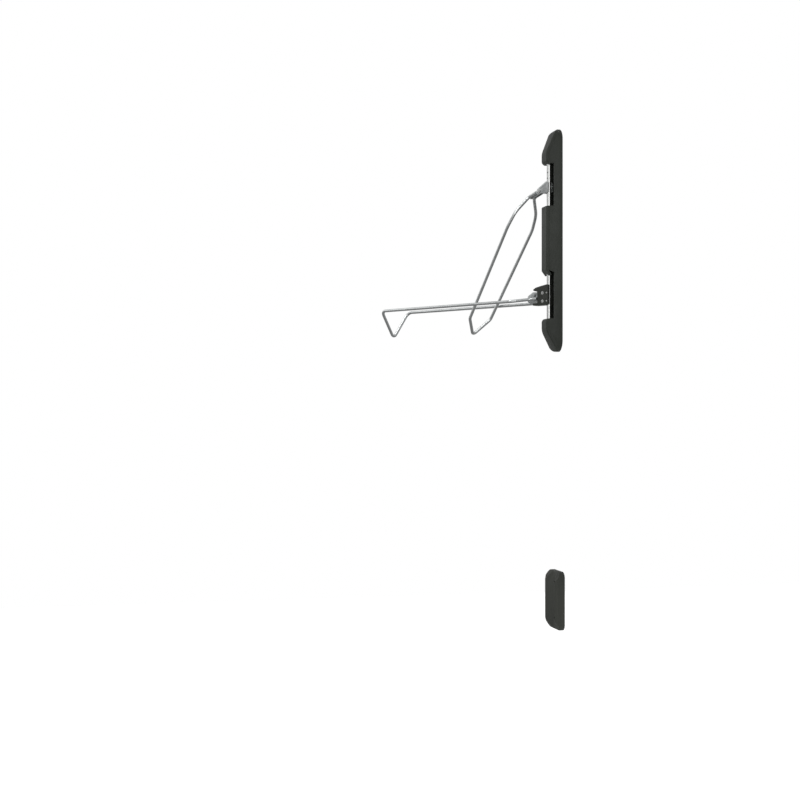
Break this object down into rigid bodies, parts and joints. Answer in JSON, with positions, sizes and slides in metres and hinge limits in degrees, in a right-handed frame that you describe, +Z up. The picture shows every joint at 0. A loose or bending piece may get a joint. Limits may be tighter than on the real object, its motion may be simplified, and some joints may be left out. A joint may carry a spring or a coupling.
{
  "type": "bicycle wall rack",
  "caption": "Vertical wall rack that holds a bicycle by its front tyre in two hinged and swivelling wire loop arms, with a dock for the rear tyre below.",
  "frame": {"origin": "centre of the four wall screw holes, on the wall plane behind the body", "axes": "+Z up along the rod, +Y into the wall, +X along the wall; the rack stands out of the wall towards -Y"},
  "size_m": [0.5714, 0.358, 1.271],
  "materials": {
    "body_moulding": "satin moulded black-green plastic",
    "dock_moulding": "fine grained moulded black plastic",
    "clamp_moulding": "satin moulded black plastic",
    "bearing_plastic": "plain self-lubricating plastic",
    "stainless_rod": "ground and polished stainless steel",
    "bright_wire": "bright zinc plated bent wire",
    "zinc_sheet": "zinc plated pressed sheet",
    "zinc_forging": "zinc plated forged lug",
    "bright_fastener": "bright zinc plated hardware"
  },
  "bodies": {
    "wall_body": {"wall_spine": "body_moulding", "top_cap": "body_moulding", "middle_cover": "body_moulding", "bottom_cap": "body_moulding", "top_bush": "bearing_plastic", "middle_bush": "bearing_plastic", "bottom_bush": "bearing_plastic", "bush_screws": "bright_fastener", "dock_body": "dock_moulding"},
    "swivel": {"swivel_rod": "stainless_rod", "rod_clips": "bright_fastener", "thrust_washer": "bearing_plastic", "upper_bracket": "zinc_sheet", "bracket_pins": "bright_fastener", "upper_hinge_pin": "bright_fastener", "upper_hinge_clip": "bright_fastener", "clamp_near_half": "clamp_moulding", "clamp_far_half": "clamp_moulding", "clamp_bolts": "bright_fastener", "clamp_nuts": "bright_fastener", "clamp_pins": "bright_fastener", "lower_arm_root": "zinc_forging", "lower_arm_loop": "bright_wire"},
    "upper_arm": {"upper_arm_root": "zinc_sheet", "upper_arm_loop": "bright_wire"}
  },
  "joints": [
    {"name": "rod_swivel", "type": "hinge", "parent": "wall_body", "child": "swivel", "pos_m": [0, -0.026, 0], "axis": [0, 0, 1], "range_deg": [-10, 130]},
    {"name": "upper_arm_fold", "type": "hinge", "parent": "swivel", "child": "upper_arm", "pos_m": [-0.02165, -0.0385, 0.1285], "axis": [-0.5, 0.866, 0], "range_deg": [0, 100]}
  ]
}
